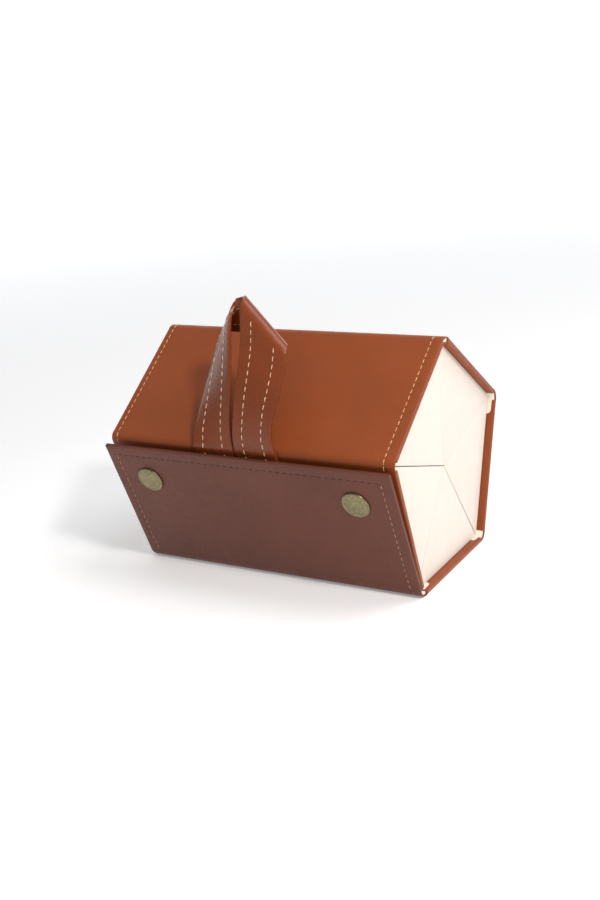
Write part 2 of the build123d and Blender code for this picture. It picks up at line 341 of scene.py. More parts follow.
# %% [markdown]
# ## Tools for shaping
#
# Most pieces here are a flat outline that is pulled out straight or spun round a corner, so those
# two moves get a helper each. Each helper starts from a primitive and uses the edit-mode operators.
# A last helper merges doubles, turns all faces outwards, and checks that the shell is closed.

# %% Outline, pull, spin and finish


def deselect():
    if bpy.context.object and bpy.context.object.mode != "OBJECT":
        bpy.ops.object.mode_set(mode="OBJECT")
    bpy.ops.object.select_all(action="DESELECT")


def outline_piece(name, points):
    """A flat face with the given corners."""
    deselect()
    bpy.ops.mesh.primitive_circle_add(vertices=len(points), fill_type="NGON")
    piece = bpy.context.object
    piece.name = name
    for vertex, point in zip(piece.data.vertices, points):
        vertex.co = point
    return piece


def start_edit(piece):
    """Edit mode with every face of the piece selected."""
    deselect()
    bpy.context.view_layer.objects.active = piece
    piece.select_set(True)
    bpy.ops.object.mode_set(mode="EDIT")
    bpy.ops.mesh.select_mode(type="FACE")
    bpy.ops.mesh.select_all(action="SELECT")


def pull(piece, move):
    """Pull an outline out into a bar. move is how far, as (x, y, z)."""
    start_edit(piece)
    bpy.ops.mesh.extrude_region_move(TRANSFORM_OT_translate={"value": move})
    bpy.ops.object.mode_set(mode="OBJECT")


def select_where(piece, kind, test):
    """In edit mode, select just the vertices, edges or faces that pass a test."""
    start_edit(piece)
    bpy.ops.mesh.select_mode(type=kind)
    bpy.ops.mesh.select_all(action="DESELECT")
    mesh = bmesh.from_edit_mesh(piece.data)
    for item in {"VERT": mesh.verts, "EDGE": mesh.edges, "FACE": mesh.faces}[kind]:
        if test(item):
            item.select_set(True)
    bmesh.update_edit_mesh(piece.data)


SAME_POINT = 0.004 * MM


def finish_mesh(piece, smooth_angle=radians(40)):
    """Merge doubles, face outwards, smooth, and count the edges that are left open."""
    start_edit(piece)
    bpy.ops.mesh.remove_doubles(threshold=SAME_POINT)
    bpy.ops.mesh.select_all(action="SELECT")
    bpy.ops.mesh.normals_make_consistent(inside=False)
    bpy.ops.object.mode_set(mode="OBJECT")
    bpy.ops.object.shade_smooth_by_angle(angle=smooth_angle)
    for modifier in list(piece.modifiers):
        bpy.ops.object.modifier_apply(modifier=modifier.name)
    mesh = bmesh.new()
    mesh.from_mesh(piece.data)
    open_edges = sum(1 for edge in mesh.edges if len(edge.link_faces) != 2)
    mesh.free()
    if open_edges:
        print("  open edges:", piece.name, open_edges)
    return piece


def dress(piece, material, body=None, nodes=()):
    """Give a piece its material and its body, and hide the nodes that it stands for."""
    if piece.data.materials:
        piece.data.materials[0] = material
    else:
        piece.data.materials.append(material)
    if body:
        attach(piece, body)
    if nodes:
        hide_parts(*nodes)
    return piece


def arc(across, deep, radius, start, stop, steps=4):
    """Points of a round edge as (across, deep), from one angle to another in degrees."""
    angles = [radians(start + (stop - start) * step / steps) for step in range(steps + 1)]
    return [(across + radius * cos(angle), deep + radius * sin(angle)) for angle in angles]


# %% [markdown]
# ## Leather panels
#
# A panel is leather wrapped round a board. Seen from the end it has soft round edges, a turned-in
# hem on the inside, and a faint valley where the thread pulls the leather down. All of that is in
# one outline, and the panel is that outline pulled across the strip. The board stays inside.

# %% Panel outline
STITCH_INSET = {-1: 3.9 * MM, 1: 6.6 * MM}
VALLEY_WIDTH = 1.1 * MM
VALLEY_DEPTH = 0.16 * MM
EDGE_ROUND = 0.75 * MM
HEM_ROUND = (0.25 * MM, 0.2 * MM)   # how the hem's edge rounds off: along the strip's width, and down
# The valley's shape, as (share of its width, share of its depth)
VALLEY = ((-1, 0), (-0.6, 0.25), (-0.25, 0.8), (0, 1), (0.25, 0.8), (0.6, 0.25), (1, 0))


def valley(side):
    """Outer face where the stitches pull it in, as (across, deep), from the middle outwards."""
    middle = END - STITCH_INSET[side]
    return [(middle + step * VALLEY_WIDTH, sink * VALLEY_DEPTH) for step, sink in VALLEY]


def half_panel(side):
    """Half of a panel's section, from its middle to one end, as (across, deep)."""
    outer = valley(side) + arc(END - EDGE_ROUND, EDGE_ROUND, EDGE_ROUND, -90, 0)
    inner = arc(END - EDGE_ROUND, THICK - EDGE_ROUND, EDGE_ROUND, 0, 90)
    along, down = HEM_ROUND
    hem = [(LINED + along, THICK), (LINED, THICK - down), (LINED, THICK - LINING)]
    return outer + inner + hem


def both_halves(half):
    """A whole outline from a function that gives one half of it for a side."""
    right = half(1)
    left = [(-across, deep) for across, deep in reversed(half(-1))]
    return right + left


def make_panel(body):
    low, high = flat_box(f"{body}_cover", body)
    points = [(across, low.y, low.z + deep) for across, deep in both_halves(half_panel)]
    piece = outline_piece(f"leather_{body}", points)
    pull(piece, (0, high.y - low.y, 0))
    finish_mesh(piece)
    piece.data.transform(homes[body])
    return dress(piece, panel_leather, body, [f"{body}_cover"])


for panel in PANELS:
    make_panel(panel)
    frame["nodes"][f"{panel}_board"].data.materials[0] = grey_board
print("panels:", len(PANELS))

# %% [markdown]
# ## Creases
#
# Between two panels the leather has no board and bends in a round arc. Spinning the panel's own
# outline round the arc's centre gives a crease that meets both panels edge to edge. It keeps its
# closed shape and belongs to no body. The lining does the same on the inside, and shows at the
# ends, where the hem is cut away.

# %% Crease outlines
CREASE_EDGE = LEATHER / 2
CREASE_STEPS = 10
LINING_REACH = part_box("bottom_crease_lining")[1].x
LINING_ROUND = 0.5 * MM
NOTHING = 0.01 * MM     # a straight stretch shorter than this is left out


def half_crease(side):
    return valley(side) + arc(END - CREASE_EDGE, CREASE_EDGE, CREASE_EDGE, -90, 90)


def half_crease_lining(side, depth=THICK):
    inner = arc(LINING_REACH - LINING_ROUND, depth - LINING_ROUND, LINING_ROUND, 0, 90)
    return [(LINING_REACH, LEATHER)] + inner


def half_flap_crease_lining(side):
    return half_crease_lining(side, flap_depth)


class Corner:
    """One corner of the strip. Legs are the lengths on each side of the sharp corner."""

    def __init__(self, body, after, edge, legs, angle):
        self.body = body
        self.after = after
        self.edge = edge
        self.angle = angle
        self.way = 1 if angle > 0 else -1
        leg = min(legs)
        self.radius = leg * tan((pi - abs(angle)) / 2)
        self.lead = legs[0] - leg
        self.tail = legs[1] - leg
        self.centre = Vector((0, edge + self.way * self.lead, self.radius))

    def lengths(self):
        """Lengths of the straight start, the arc and the straight end, on the outer face."""
        return self.lead, self.radius * abs(self.angle), self.tail

    def at(self, travel):
        """Matrix that carries a flat point at the edge along the outer face by a distance."""
        lead, arc_length, tail = self.lengths()
        start = min(travel, lead)
        turn = min(max(travel - lead, 0), arc_length) / self.radius * self.way
        rest = max(travel - lead - arc_length, 0)
        spin = Matrix.Translation(self.centre) @ Matrix.Rotation(turn, 4, "X")
        spin = spin @ Matrix.Translation(-self.centre)
        return homes[self.body] @ spin @ Matrix.Translation((0, self.way * (start + rest), 0))

    def blend(self, piece):
        """Bake the piece's place into its mesh. It is not bent between the bodies."""
        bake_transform(piece)


def turn_corner(name, half, corner):
    """Carry an outline along the strip's corner: straight, round the arc, and straight again."""
    piece = outline_piece(name, [(across, corner.edge, deep) for across, deep in both_halves(half)])
    start_edit(piece)
    if corner.lead > NOTHING:
        heading = Vector((0, corner.way * corner.lead, 0))
        bpy.ops.mesh.extrude_region_move(TRANSFORM_OT_translate={"value": heading})
    bpy.ops.mesh.spin(steps=CREASE_STEPS, angle=-corner.angle, center=corner.centre, axis=(1, 0, 0))
    if corner.tail > NOTHING:
        heading = Matrix.Rotation(corner.angle, 3, "X") @ Vector((0, corner.way * corner.tail, 0))
        bpy.ops.mesh.extrude_region_move(TRANSFORM_OT_translate={"value": heading})
    bpy.ops.object.mode_set(mode="OBJECT")
    finish_mesh(piece)
    piece.data.transform(homes[corner.body])
    return piece


def crease(corner, half, material, slot, node=None):
    """One sheet round a corner. node is the frame's node that it stands for, if there is one."""
    piece = turn_corner(f"{slot}_crease_{corner.after}", half, corner)
    dress(piece, material, None, [node] if node else [])
    corner.blend(piece)


corners = {}
for number, after in enumerate(PANELS[1:]):
    body = PANELS[number]
    shift = RECESS if after == "lower_front" else 0
    legs = (CREASE - shift / sin(TURN), CREASE + shift / tan(TURN))
    corners[after] = Corner(body, after, HALF, legs, TURN)
    crease(corners[after], half_crease, panel_leather, "leather", f"{body}_crease")
    crease(corners[after], half_crease_lining, lining_cloth, "lining", f"{body}_crease_lining")

flap_low, flap_high = flat_box("flap_cover", "flap")
flap_depth = flat_box("flap_backing", "flap")[1].z
to_sharp = hinge("flap_hinge").z / tan((pi - flap_travel) / 2)
flap_hinge_y = hinge("flap_hinge").y
flap_legs = (to_sharp - flap_hinge_y - HALF, to_sharp + flap_hinge_y - flap_high.y)
corners["flap"] = Corner("bottom", "flap", -HALF, flap_legs, -flap_travel)
crease(corners["flap"], half_crease, shaded_flap_leather, "leather", "flap_crease")
crease(corners["flap"], half_flap_crease_lining, lining_cloth, "lining")
print("creases:", len(corners), "flap legs", [round(leg / MM, 2) for leg in flap_legs])

# %% [markdown]
# ## Lining sheets
#
# The cream sheet on the inside of each panel, and the divider that stands on it. They are only seen
# when the case is open, but then they are most of what is seen. The edges are rounded a little, as
# cloth is over a board.

# %% Linings and walls from the frame's own shapes


LINING_EDGE = 0.15 * MM
DIVIDER_EDGE = 0.45 * MM
NODE_DOUBLES = 0.005 * MM
FLAT_ANGLE = radians(1)
SHARP_ANGLE = radians(25)


def soft_copy(node, name, rounding):
    """A node's shape with its edges rounded off."""
    deselect()
    piece = frame["nodes"][node].copy()
    piece.data = piece.data.copy()
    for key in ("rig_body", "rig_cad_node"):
        if key in piece:
            del piece[key]
    piece.parent = None
    piece.name = name
    bpy.context.scene.collection.objects.link(piece)
    start_edit(piece)
    bpy.ops.mesh.remove_doubles(threshold=NODE_DOUBLES)
    bpy.ops.mesh.select_all(action="SELECT")
    bpy.ops.mesh.dissolve_limited(angle_limit=FLAT_ANGLE)
    select_where(piece, "EDGE", lambda edge: edge.is_manifold and edge.calc_face_angle(0) > SHARP_ANGLE)
    bpy.ops.mesh.bevel(offset=rounding, segments=3, profile=0.5)
    bpy.ops.object.mode_set(mode="OBJECT")
    return finish_mesh(piece)


for panel in PANELS:
    sheet_piece = soft_copy(f"{panel}_lining", f"lining_{panel}", LINING_EDGE)
    dress(sheet_piece, lining_cloth, panel, [f"{panel}_lining"])
    low, high = flat_box(f"{panel}_lining", panel)
    wall = soft_copy(f"{panel}_divider", f"cloth_divider_{panel}", DIVIDER_EDGE)
    dress(wall, wall_cloth, panel, [f"{panel}_divider"])
print("linings and dividers:", 2 * len(PANELS))

# %% [markdown]
# The hem is cut away at a slant beside some of the creases, and there a wedge of the cream lining
# shows between the wall and the leather.

# %% Wedges of lining where the hem is cut away
# Panel, the side of it that the wedge starts from, and the wedge's length
HEM_CUTS = [("bottom", 1, 6.0 * MM), ("bottom", -1, 9.0 * MM), ("back", 1, 8.5 * MM)]
# Round from the crease and back again, as shares of the wedge's length and reach
WEDGE_OUTLINE = [(0, 0), (1, 0), (0.97, 0.45), (0.88, 0.8), (0.7, 0.96), (0, 1)]
WEDGE_REACH = 0.6 * (END - WALL_OUT)
WEDGE_PROUD = 0.15 * MM
WEDGE_SUNK = 0.4 * MM


def hem_wedge(body, way, length, side):
    """A thin wedge on the inside of the hem that runs out away from the crease."""
    low, high = flat_box(f"{body}_cover", body)
    start = high.y if way > 0 else low.y
    points = [(side * (WALL_OUT + out * WEDGE_REACH), start - way * along * length, high.z - WEDGE_SUNK)
              for along, out in WEDGE_OUTLINE]
    piece = outline_piece(f"hem_wedge_{body}_{way + 1}_{side + 1}", points)
    pull(piece, (0, 0, WEDGE_SUNK + WEDGE_PROUD))
    finish_mesh(piece)
    piece.data.transform(homes[body])
    return dress(piece, lining_cloth, body)


for body, way, length in HEM_CUTS:
    for side in (-1, 1):
        hem_wedge(body, way, length, side)
print("hem wedges:", 2 * len(HEM_CUTS))

# %% [markdown]
# ## End walls
#
# Each compartment is closed at both ends by a card triangle covered in cloth. Five of them meet
# like slices of a cake. Cloth presses together, so most seams nearly vanish. Those beside the bottom
# and the lower front stay open a little, because those panels only lean on their neighbours.

# %% Cake slices
# What each wall leaves free at its start foot, its peak and its end foot
SEAM = {
    "bottom": (0.48 * MM, 0.3 * MM, 0.75 * MM),
    "back": (0.12 * MM, 0.15 * MM, 0.05 * MM),
    "rear_roof": (0.05 * MM, 0.05 * MM, 0.06 * MM),
    "front_roof": (0.06 * MM, 0.2 * MM, 0.25 * MM),
    "lower_front": (0.3 * MM, 0.2 * MM, 0.3 * MM),
}
WALL_ROUND = 0.35 * MM


def slice_corners(body):
    """The triangle of one end wall, flat: start foot, end foot and peak."""
    start_gap, peak_gap, end_gap = SEAM[body]
    recess = RECESS if body == "lower_front" else 0
    rise = axis.z - recess - THICK
    reach = rise * tan(TURN / 2)
    slant = cos(TURN / 2)
    return [(-reach + start_gap / slant, THICK + recess), (reach - end_gap / slant, THICK + recess),
            (0, axis.z - peak_gap / sin(TURN / 2))]


def end_wall(body, side):
    points = [(side * (WALL_OUT - CARD), y, z) for y, z in slice_corners(body)]
    name = "right" if side > 0 else "left"
    piece = outline_piece(f"cloth_end_{body}_{name}", points)
    pull(piece, (side * CARD, 0, 0))
    start_edit(piece)
    bpy.ops.mesh.select_mode(type="EDGE")
    bpy.ops.mesh.select_all(action="SELECT")
    bpy.ops.mesh.bevel(offset=WALL_ROUND, segments=3, profile=0.5)
    finish_mesh(piece)
    piece.data.transform(turned(PANELS.index(body) * TURN, axis))
    return dress(piece, wall_cloth, body, [f"{body}_end_wall_{name}"])


for panel in PANELS:
    for side in (-1, 1):
        end_wall(panel, side)
print("end walls:", 2 * len(PANELS))

# %% [markdown]
# ## The flap
#
# The flap is two leathers with a thin board between them, sewn round three sides. A box is cut
# along the sewing line, so that there are points there to press the valley into the outer leather.

# %% Flap
FLAP_STITCH = 6.3 * MM
COVER_ROUND = 0.5 * MM
BACKING_ROUND = 0.2 * MM
RIM_ANGLE = radians(60)
TINY = 0.01 * MM


def slab(name, low, high):
    deselect()
    middle = (low + high) / 2
    bpy.ops.mesh.primitive_cube_add(size=1, location=middle)
    piece = bpy.context.object
    piece.name = name
    piece.dimensions = high - low
    bpy.ops.object.transform_apply(location=True, rotation=False, scale=True)
    return piece


def cut(piece, place, normal):
    start_edit(piece)
    bpy.ops.mesh.bisect(plane_co=place, plane_no=normal)
    bpy.ops.object.mode_set(mode="OBJECT")


def press_line(piece, low, high):
    """Press a stitched valley into the outer face, along the two ends and the free edge."""
    left, right = low.x + FLAP_STITCH, high.x - FLAP_STITCH
    free = low.y + FLAP_STITCH
    for offset in (-1, -0.5, 0, 0.5, 1):
        step = offset * VALLEY_WIDTH
        cut(piece, (left + step, 0, 0), (1, 0, 0))
        cut(piece, (right + step, 0, 0), (1, 0, 0))
        cut(piece, (0, free + step, 0), (0, 1, 0))
    for vertex in piece.data.vertices:
        spot = vertex.co
        if abs(spot.z - low.z) > TINY:
            continue
        inside_ends = left - VALLEY_WIDTH < spot.x < right + VALLEY_WIDTH
        gaps = [abs(spot.x - left), abs(spot.x - right)] if spot.y > free - TINY else []
        gaps += [abs(spot.y - free)] if inside_ends else []
        near = min(gaps, default=VALLEY_WIDTH)
        if near < VALLEY_WIDTH:
            spot.z += VALLEY_DEPTH * (1 + cos(pi * near / VALLEY_WIDTH)) / 2


def round_free_edges(piece, high, rounding):
    """Round the ends and the free edge, and leave the edge at the crease square."""
    def is_rim(edge):
        first, second = (vertex.co for vertex in edge.verts)
        if not edge.is_manifold or edge.calc_face_angle(0) < RIM_ANGLE:
            return False
        return min(first.y, second.y) < high.y - TINY or abs(first.y - second.y) > TINY

    select_where(piece, "EDGE", is_rim)
    bpy.ops.mesh.bevel(offset=rounding, segments=3, profile=0.5)
    bpy.ops.object.mode_set(mode="OBJECT")


def make_flap():
    cover = slab("leather_flap", flap_low, flap_high)
    press_line(cover, flap_low, flap_high)
    round_free_edges(cover, flap_high, COVER_ROUND)
    low, high = flat_box("flap_backing", "flap")
    backing = slab("leather_flap_backing", low, high)
    round_free_edges(backing, high, BACKING_ROUND)
    for piece, nodes in ((cover, ["flap_cover", "flap_board"]), (backing, ["flap_backing"])):
        finish_mesh(piece)
        piece.data.transform(homes["flap"])
        dress(piece, shaded_flap_leather, "flap", nodes)


make_flap()
print("flap size:", [round(size / MM, 1) for size in flap_high - flap_low])

# %% [markdown]
# ## Snaps
#
# A snap cap is a shallow dome with a rolled rim. Half of its section is spun round its middle. The
# socket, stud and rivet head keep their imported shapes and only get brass.

# %% Snap caps
SPIN_STEPS = 48
# From the middle of the dome out over the rolled rim and back underneath, as shares of the
# cap's radius and height
CAP_SECTION = [(0, 1), (0.35, 0.96), (0.62, 0.85), (0.79, 0.68), (0.84, 0.56), (0.87, 0.58), (0.90, 0.70),
               (0.94, 0.74), (0.975, 0.64), (1.0, 0.38), (0.985, 0.1), (0.95, -0.01), (0, -0.01)]


def make_cap(side, name):
    low, high = flat_box(f"snap_cap_{name}", "flap")
    centre = Vector(((low.x + high.x) / 2, (low.y + high.y) / 2, 0))
    radius = (high.x - low.x) / 2
    dome = -low.z
    section = [(share * radius, -height * dome) for share, height in CAP_SECTION]
    piece = outline_piece(f"brass_cap_{name}", [(across, 0, deep) for across, deep in section])
    start_edit(piece)
    bpy.ops.mesh.delete(type="ONLY_FACE")
    start_edit(piece)
    bpy.ops.mesh.select_mode(type="VERT")
    bpy.ops.mesh.select_all(action="SELECT")
    bpy.ops.mesh.spin(steps=SPIN_STEPS, angle=2 * pi, center=(0, 0, 0), axis=(0, 0, 1))
    finish_mesh(piece, radians(50))
    piece.data.transform(homes["flap"] @ Matrix.Translation(centre))
    return dress(piece, cap_brass, "flap", [f"snap_cap_{name}"])


for side, name in ((-1, "left"), (1, "right")):
    make_cap(side, name)
    for part in ("socket", "stud", "back"):
        frame["nodes"][f"snap_{part}_{name}"].data.materials[0] = inner_brass
print("snap caps:", 2)

# %% [markdown]
# ## The strap handle
#
# The handle is one flat strap. It comes up from behind the flap, rolls over a slanting fold at its
# peak, passes behind itself, curls forward again and comes down turned to the left. A ribbon is two
# edges with leather between them, so the strap is a grid whose rows run from the inner edge to the
# outer one, station by station. Solidify gives it two layers, and Bevel rounds their edges.
#
# Each station gives the inner and the outer edge, in millimetres from the middle of the line where
# the handle bends: to the right, to the back, and up.

# %% Strap stations
swing = hinge("handle_swing")
tab_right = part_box("handle_tab_right")
tab_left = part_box("handle_tab_left")
STRAP_WIDTH = tab_right[1].x - tab_right[0].x
strap_middle = Vector(((tab_right[0].x + tab_left[1].x) / 2, swing.y, swing.z))
down_front = (homes["lower_front"].to_3x3() @ Vector((0, 1, 0))).normalized()
tab_flat = flat_box("handle_tab_right", "lower_front")
STRAP_THICK = RECESS - tab_flat[0].z
TAB_LENGTH = (tab_flat[1].y - tab_flat[0].y) - STRAP_THICK / 2

RIGHT_LEG = [
    ((0.5, 0.0, 0.0), (26.4, 0.0, 0.0)),
    ((1.5, -1.0, 11.5), (25.9, -1.6, 8.5)),
    ((2.9, 2.2, 30.0), (27.8, -0.6, 21.0)),
    ((3.5, 7.6, 46.5), (30.1, 3.4, 32.0)),
    ((3.4, 12.4, 60.0), (31.0, 8.0, 41.0)),
    ((2.7, 15.8, 76.0), (31.2, 11.4, 49.0)),
]
LEFT_LEG = [
    ((-5.0, 23.9, 78.6), (8.0, 25.4, 58.8)),
    ((-5.5, 23.1, 76.9), (-8.0, 27.4, 59.6)),
    ((-5.9, 21.8, 75.0), (-16.8, 28.5, 58.4)),
    ((-6.1, 19.6, 72.5), (-21.8, 27.4, 52.5)),
    ((-6.0, 16.6, 65.8), (-23.8, 23.4, 43.0)),
    ((-4.3, 11.8, 51.5), (-25.0, 17.6, 32.5)),
    ((-2.1, 4.8, 30.5), (-26.2, 9.6, 18.5)),
    ((-1.6, 1.1, 13.0), (-26.9, 3.4, 7.5)),
    ((-0.5, 0.0, 0.0), (-26.5, 0.0, 0.0)),
]
ROLL_RADIUS = 4.0 * MM
# How far each edge has run up along the fold, in roll radii, at the top of the roll and behind it
INNER_SLIP = (1.0, 1.9)
OUTER_SLIP = (1.6, 2.4)
ROLL_ROWS = 12
LEG_ROWS = 26
CURL_ROWS = 44
ROOT = 3 * MM           # the loop goes this far down behind the flap, where the tabs take over


def from_middle(offset):
    return strap_middle + Vector(offset) * MM


def smooth_between(points, share):
    """A point on the smooth curve through the given points, share running from 0 to 1."""
    place = share * (len(points) - 1)
    number = min(int(place), len(points) - 2)
    t = place - number
    p1, p2 = points[number], points[number + 1]
    p0 = points[number - 1] if number else p1 * 2 - p2
    p3 = points[number + 2] if number + 2 < len(points) else p2 * 2 - p1
    return 0.5 * (2 * p1 + (p2 - p0) * t + (2 * p0 - 5 * p1 + 4 * p2 - p3) * t * t
                  + (3 * p1 - p0 - 3 * p2 + p3) * t * t * t)


def leg_rows(stations, count):
    inner = [station[0] for station in stations]
    outer = [station[1] for station in stations]
    shares = [number / (count - 1) for number in range(count)]
    return [(smooth_between(inner, share), smooth_between(outer, share)) for share in shares]


def roll_rows(last_row, row_before):
    """Rows that carry the strap over its slanting fold, from the front to behind itself."""
    inner, outer = last_row
    fold = (outer - inner).normalized()
    up = (inner - row_before[0]) + (outer - row_before[1])
    over = (up - fold * up.dot(fold)).normalized()
    back = fold.cross(over)
    back = back if back.y > 0 else -back
    rows = []
    for number in range(1, ROLL_ROWS + 1):
        share = number / ROLL_ROWS
        roll = over * sin(pi * share) + back * (1 - cos(pi * share))
        edges = []
        for edge, (top, end) in ((inner, INNER_SLIP), (outer, OUTER_SLIP)):
            slip = 4 * top * share * (1 - share) + end * share * (2 * share - 1)
            edges.append(edge + (roll - fold * slip) * ROLL_RADIUS)
        rows.append(tuple(edges))
    return rows


def root_rows(row, depths):
    """Rows straight down the lower front from where a leg starts."""
    return [tuple(edge + down_front * depth for edge in row) for depth in depths]


right_leg = leg_rows([[from_middle(edge) for edge in row] for row in RIGHT_LEG], LEG_ROWS)
roll = roll_rows(right_leg[-1], right_leg[-2])
behind = [roll[-1]] + [[from_middle(edge) for edge in row] for row in LEFT_LEG]
left_leg = leg_rows(behind, CURL_ROWS)
root_depths = [ROOT * share for share in (1, 0.66, 0.33)]
strap_line = root_rows(right_leg[0], root_depths) + right_leg + roll + left_leg[1:]
strap_line += root_rows(left_leg[-1], reversed(root_depths))
print("strap rows:", len(strap_line), "width", round(STRAP_WIDTH / MM, 1))

# %% Strap mesh
STRAP_COLUMNS = 12
STRAP_EDGE = 0.55 * MM
TAB_ROWS = 12


def ribbon(name, line):
    """Two layers of leather over a grid that follows pairs of edge points."""
    deselect()
    bpy.ops.mesh.primitive_grid_add(x_subdivisions=STRAP_COLUMNS, y_subdivisions=len(line) - 1)
    piece = bpy.context.object
    piece.name = name
    for number, vertex in enumerate(piece.data.vertices):
        row, column = divmod(number, STRAP_COLUMNS + 1)
        inner, outer = line[row]
        vertex.co = inner.lerp(outer, column / STRAP_COLUMNS)
    thicken = piece.modifiers.new("two layers", "SOLIDIFY")
    thicken.thickness = STRAP_THICK
    thicken.offset = 0
    # The rims get the second material: the edge paint with its painted highlight.
    thicken.material_offset_rim = 1
    edges = piece.modifiers.new("turned edges", "BEVEL")
    edges.width = STRAP_EDGE
    edges.segments = 3
    edges.limit_method = "ANGLE"
    edges.angle_limit = radians(55)
    bpy.ops.object.modifier_apply(modifier=thicken.name)
    bpy.ops.object.modifier_apply(modifier=edges.name)
    return finish_mesh(piece, radians(50))


loop = ribbon("leather_strap", strap_line)
dress(loop, strap_leather, None, ["handle_loop"])
loop.data.materials.append(strap_edge_highlighted)
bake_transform(loop)

tab_lines = {}
for name, row in (("right", right_leg[0]), ("left", left_leg[-1])):
    depths = [ROOT + (TAB_LENGTH - ROOT) * number / TAB_ROWS for number in range(TAB_ROWS + 1)]
    tab_lines[name] = root_rows(row, depths)
    tab = ribbon(f"leather_tab_{name}", tab_lines[name])
    dress(tab, strap_leather, None, [f"handle_tab_{name}"])
    tab.data.materials.append(strap_edge_highlighted)
    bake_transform(tab)
print("strap faces:", len(loop.data.polygons))

# %% [markdown]
# ## Stitches
#
# One stitch is a short thread that dives into the leather at both ends. It is modelled once, and a
# seam is that stitch copied along a line, each copy turned a hair differently, as on a real seam.

# %% One stitch
STITCH_LONG = 3.0 * MM
STITCH_PITCH = 4.3 * MM
THREAD = 0.25 * MM


def model_stitch():
    """The points and faces of one stitch along X, lying on top of the XY plane."""
    deselect()
    along_x = (0, pi / 2, 0)
    bpy.ops.mesh.primitive_cylinder_add(vertices=6, radius=THREAD, depth=STITCH_LONG, rotation=along_x)
    piece = bpy.context.object
    bpy.ops.object.transform_apply(location=True, rotation=True, scale=True)
    for place in (-0.38, -0.2, 0.2, 0.38):
        cut(piece, (place * STITCH_LONG, 0, 0), (1, 0, 0))
    for vertex in piece.data.vertices:
        spot = vertex.co
        far = abs(spot.x) / (STITCH_LONG / 2)
        spot.z = spot.z * (1 - 0.35 * far**2) + THREAD * (0.55 - 1.5 * far**3)
        spot.y *= 1 - 0.4 * far**3
    points = [vertex.co.copy() for vertex in piece.data.vertices]
    faces = [list(face.vertices) for face in piece.data.polygons]
    bpy.data.objects.remove(piece)
    return points, faces


stitch_points, stitch_faces = model_stitch()


def seam(name, places, material, body):
    """Copy the stitch to each place, given as a matrix, and make one piece of them."""
    points, faces = [], []
    for place in places:
        start = len(points)
        jitter = Matrix.Rotation(radians(random.uniform(-3, 3)), 4, "Z")
        jitter @= Matrix.Scale(random.uniform(0.93, 1.04), 4, (1, 0, 0))
        points += [place @ jitter @ point for point in stitch_points]
        faces += [[start + number for number in face] for face in stitch_faces]
    mesh = bpy.data.meshes.new(name)
    mesh.from_pydata(points, [], faces)
    piece = bpy.data.objects.new(name, mesh)
    bpy.context.scene.collection.objects.link(piece)
    deselect()
    bpy.context.view_layer.objects.active = piece
    piece.select_set(True)
    bpy.ops.object.shade_smooth()
    return dress(piece, material, body)


def stand(place, along, out):
    """Matrix for a stitch at a place, running along one way and facing out."""
    out = out.normalized()
    along = (along - out * along.dot(out)).normalized()
    turned_in = Matrix((along, out.cross(along), out)).transposed().to_4x4()
    return Matrix.Translation(place) @ turned_in


def line_of(start, end, pitch=STITCH_PITCH):
    """Evenly spaced shares along a line."""
    count = max(1, round((end - start).length / pitch))
    return [start.lerp(end, (number + 0.5) / count) for number in range(count)]


# %% Seams at the panels' ends
SINK = VALLEY_DEPTH
OUTWARDS = Vector((0, 0, -1))
for panel in PANELS:
    low, high = flat_box(f"{panel}_cover", panel)
    places = []
    for side in (-1, 1):
        across = side * (END - STITCH_INSET[side])
        for spot in line_of(Vector((across, low.y, low.z + SINK)), Vector((across, high.y, low.z + SINK))):
            places.append(homes[panel] @ stand(spot, Vector((0, 1, 0)), OUTWARDS))
    seam(f"stitches_{panel}", places, light_thread, panel)

# %% Seams over the creases
for after, corner in corners.items():
    if after == "flap":
        continue
    total = sum(corner.lengths())
    count = max(1, round(total / STITCH_PITCH))
    places = []
    for side in (-1, 1):
        for number in range(count):
            spot = Vector((side * (END - STITCH_INSET[side]), corner.edge, SINK))
            turn = corner.at((number + 0.5) * total / count)
            places.append(turn @ stand(spot, Vector((0, 1, 0)), OUTWARDS))
    piece = seam(f"stitches_crease_{after}", places, light_thread, None)
    corner.blend(piece)

# %% Seam round the flap
SEAM_STOP = 1 * MM      # the ends' seams stop this far from the crease
left = flap_low.x + FLAP_STITCH
right = flap_high.x - FLAP_STITCH
free = flap_low.y + FLAP_STITCH
level = flap_low.z + SINK
places = []
for spot in line_of(Vector((left, free, level)), Vector((right, free, level))):
    places.append(homes["flap"] @ stand(spot, Vector((1, 0, 0)), OUTWARDS))
seam("stitches_flap", places, dark_thread, "flap")
places = []
for across in (left, right):
    for spot in line_of(Vector((across, free, level)), Vector((across, flap_high.y - SEAM_STOP, level))):
        places.append(homes["flap"] @ stand(spot, Vector((0, 1, 0)), OUTWARDS))
seam("stitches_flap_ends", places, rust_thread, "flap")
print("flap ends' stitches:", len(places))

# %% Seams along the strap
STRAP_SEAM = 0.25       # how far in from each edge the seams run, as a share of the width
STRAP_PITCH = 4.4 * MM


def strap_seam(line, share, face):
    """Places of stitches along a strap, at a share of its width, on one of its two faces."""
    places, carried = [], STRAP_PITCH / 2
    for (in_a, out_a), (in_b, out_b) in zip(line, line[1:]):
        start, end = in_a.lerp(out_a, share), in_b.lerp(out_b, share)
        along = end - start
        across = (out_a - in_a).lerp(out_b - in_b, 0.5)
        while carried < along.length:
            out = along.cross(across).normalized() * face
            spot = start.lerp(end, carried / along.length)
            places.append(stand(spot + out * STRAP_THICK / 2, along, out))
            carried += STRAP_PITCH
        carried -= along.length
    return places


def strap_stitches(name, line):
    """Both seams on both faces of a stretch of strap."""
    places = []
    for share in (STRAP_SEAM, 1 - STRAP_SEAM):
        for face in (-1, 1):
            places += strap_seam(line, share, face)
    piece = seam(name, places, strap_thread, None)
    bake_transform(piece)
    return len(places)


